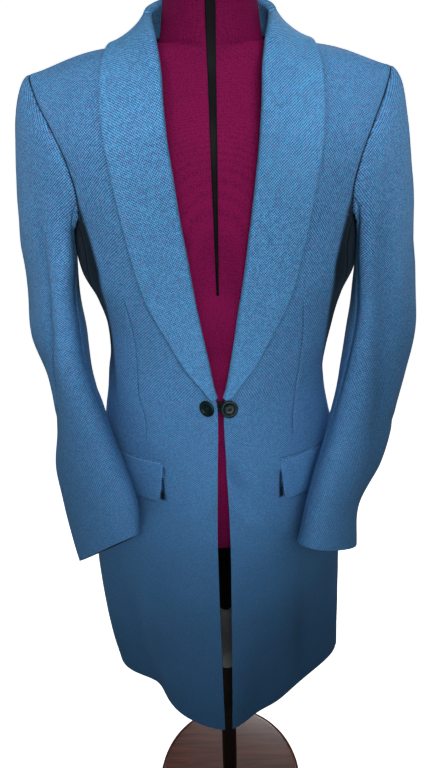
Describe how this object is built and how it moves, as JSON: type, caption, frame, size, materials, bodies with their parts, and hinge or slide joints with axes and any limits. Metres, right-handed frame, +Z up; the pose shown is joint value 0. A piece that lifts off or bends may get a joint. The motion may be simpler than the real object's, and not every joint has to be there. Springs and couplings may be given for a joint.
{
  "type": "day coat on dress form",
  "caption": "Long fitted day coat with a shawl collar, flap pockets and edge-to-edge button link, worn by a limbless dress form on its stand.",
  "frame": {"origin": "centre of the underside of the stand's base, where it meets the floor", "axes": "+Z up along the stand; the coat's front faces -Y; +X is the wearer's left"},
  "size_m": [0.5371, 0.3862, 1.622],
  "materials": {
    "coat_wool": "matte two-tone wool weave, blue and navy",
    "collar_wool": "matte wool twill, a shade lighter",
    "dark_horn": "dark green-black button with thick rim",
    "black_braid": "matte black braid",
    "plum_jersey": "matte stretched jersey cover",
    "black_slot": "matt black inlay",
    "black_tube": "satin black paint",
    "grey_sleeve": "pale grey moulding",
    "dark_tube": "satin grey-brown paint",
    "brown_wood": "turned and varnished reddish wood"
  },
  "bodies": {
    "root": {"back_left": "coat_wool", "back_right": "coat_wool", "button_link": "black_braid", "cuff_button_left_1": "dark_horn", "cuff_button_left_2": "dark_horn", "cuff_button_left_3": "dark_horn", "cuff_button_right_1": "dark_horn", "cuff_button_right_2": "dark_horn", "cuff_button_right_3": "dark_horn", "form_slot": "black_slot", "form_torso": "plum_jersey", "front_button_left": "dark_horn", "front_button_right": "dark_horn", "front_left": "coat_wool", "front_right": "coat_wool", "pocket_flap_left": "coat_wool", "pocket_flap_right": "coat_wool", "pocket_jet_left": "coat_wool", "pocket_jet_right": "coat_wool", "shawl_collar_left": "collar_wool", "shawl_collar_right": "collar_wool", "side_left": "coat_wool", "side_right": "coat_wool", "sleeve_top_left": "coat_wool", "sleeve_top_right": "coat_wool", "sleeve_under_left": "coat_wool", "sleeve_under_right": "coat_wool", "stand_base": "brown_wood", "stand_height_sleeve": "grey_sleeve", "stand_tube_lower": "dark_tube", "stand_tube_upper": "black_tube"}
  },
  "joints": []
}
